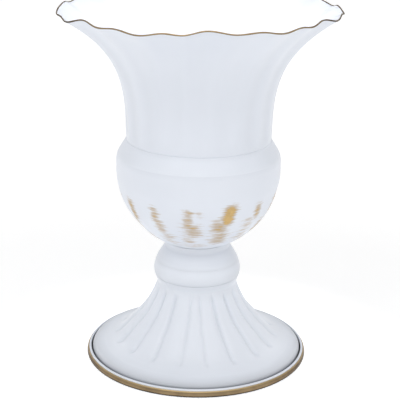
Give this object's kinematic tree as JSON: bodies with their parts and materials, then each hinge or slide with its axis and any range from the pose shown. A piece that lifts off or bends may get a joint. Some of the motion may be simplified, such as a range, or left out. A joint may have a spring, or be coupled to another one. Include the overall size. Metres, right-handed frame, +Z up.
{
  "type": "memorial vase",
  "caption": "Urn-shaped memorial flower vase in white painted sheet metal, with a fluted trumpet, wavy brass rim, round ribbed bowl, turned knop and fluted foot.",
  "frame": {"origin": "centre of the underside of the pad that the vase stands on, on its vertical axis", "axes": "+Z up along the vase's axis towards the rim, -Y towards the front of the picture's view, +X to its right"},
  "size_m": [0.1938, 0.1926, 0.2522],
  "materials": {
    "white_paint": "satin",
    "brass_edge": "aged satin",
    "zinc_steel": "zinc plated",
    "black_rubber": "matte",
    "grey_felt": "matte"
  },
  "bodies": {
    "root": {"trumpet": "white_paint", "rim_bead": "brass_edge", "shoulder_ring": "white_paint", "bowl": "white_paint", "knop_cap": "white_paint", "knop_ring": "white_paint", "foot": "white_paint", "base_pan": "white_paint", "base_band": "brass_edge", "base_pad": "grey_felt", "tie_rod": "zinc_steel", "stem_tube": "zinc_steel", "saddle_plate": "zinc_steel", "bowl_seal": "black_rubber", "bowl_washer": "zinc_steel", "top_nut": "zinc_steel", "lock_washer": "zinc_steel", "base_nut": "zinc_steel"}
  },
  "joints": []
}
